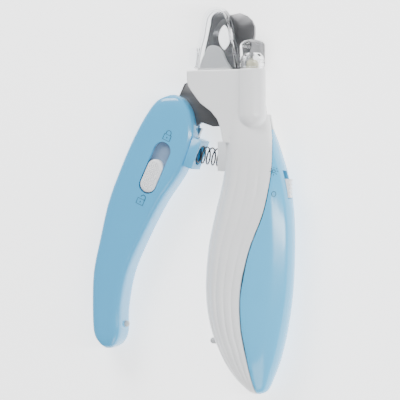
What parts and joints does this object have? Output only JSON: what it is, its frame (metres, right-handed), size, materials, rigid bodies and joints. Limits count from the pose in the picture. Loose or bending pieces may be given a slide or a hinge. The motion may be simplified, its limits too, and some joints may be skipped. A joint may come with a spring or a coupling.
{
  "type": "lighted pet nail clipper",
  "caption": "Scissor-action pet nail clipper lying flat, with notched steel jaws, a clear clippings catcher, a lamp, a sprung lever handle and a sliding lock.",
  "frame": {"origin": "point on the pivot axis where it meets the surface that the clipper lies on", "axes": "+Z along the pivot axis up towards the lit and locking face, +Y towards the blade tips, +X towards the ribbed handle's spine"},
  "size_m": [0.0833, 0.1502, 0.0192],
  "materials": {
    "white_plastic": "glossy moulded white",
    "lever_blue": "glossy moulded light blue",
    "spine_blue": "glossy moulded light blue",
    "blade_steel": "satin ground stainless steel",
    "arm_steel": "satin stamped stainless steel",
    "screw_steel": "plated steel",
    "spring_steel": "drawn spring wire",
    "clear_plastic": "clear polycarbonate",
    "lens_plastic": "clear polished acrylic",
    "led_epoxy": "milky epoxy",
    "holder_white": "matte white",
    "wire_red": "wire insulation",
    "board_green": "solder mask",
    "cell_steel": "nickel plated can",
    "contact_brass": "plated spring brass",
    "switch_black": "matte black",
    "seat_grey": "satin light grey",
    "seat_blue": "satin light blue",
    "bumper_clear": "soft clear grey",
    "track_blue": "satin grey blue",
    "button_white": "satin white",
    "washer_plastic": "natural nylon"
  },
  "bodies": {
    "handle": {"front_housing": "white_plastic", "rear_housing": "white_plastic", "spine_cover": "spine_blue", "fixed_blade": "blade_steel", "blade_screws": "screw_steel", "pivot_pin": "screw_steel", "pivot_washers": "washer_plastic", "lamp_lens": "lens_plastic", "lamp_led": "led_epoxy", "lamp_holder": "holder_white", "lamp_wires": "wire_red", "circuit_board": "board_green", "button_cells": "cell_steel", "battery_contacts": "contact_brass", "switch_body": "switch_black", "right_spring_seat": "seat_grey", "return_spring": "spring_steel", "housing_screws": "screw_steel", "right_bumper": "bumper_clear"},
    "lever": {"lever_front_shell": "lever_blue", "lever_rear_shell": "lever_blue", "moving_blade": "arm_steel", "left_spring_seat": "seat_blue", "lever_screws": "screw_steel", "left_bumper": "bumper_clear", "lock_track": "track_blue", "detent_spring": "spring_steel"},
    "lock_slider": {"lock_button": "button_white", "lock_bolt": "screw_steel"},
    "power_slider": {"power_knob": "button_white"},
    "catcher": {"nail_catcher": "clear_plastic"}
  },
  "joints": [
    {"name": "lever_hinge", "type": "hinge", "parent": "handle", "child": "lever", "pos_m": [0, 0, 0.0085], "axis": [0, 0, 1], "range_deg": [0, 19.5], "stiffness_Nm_per_rad": 0.3, "springref_deg": -14.32, "deforming": ["return_spring"]},
    {"name": "lock_slide", "type": "slide", "parent": "lever", "child": "lock_slider", "axis": [0.419, 0.908, 0], "range_m": [0, 0.0069]},
    {"name": "power_slide", "type": "slide", "parent": "handle", "child": "power_slider", "axis": [0, 1, 0], "range_m": [0, 0.003]},
    {"name": "catcher_slide", "type": "slide", "parent": "handle", "child": "catcher", "axis": [0, 1, 0], "range_m": [0, 0.03]}
  ]
}
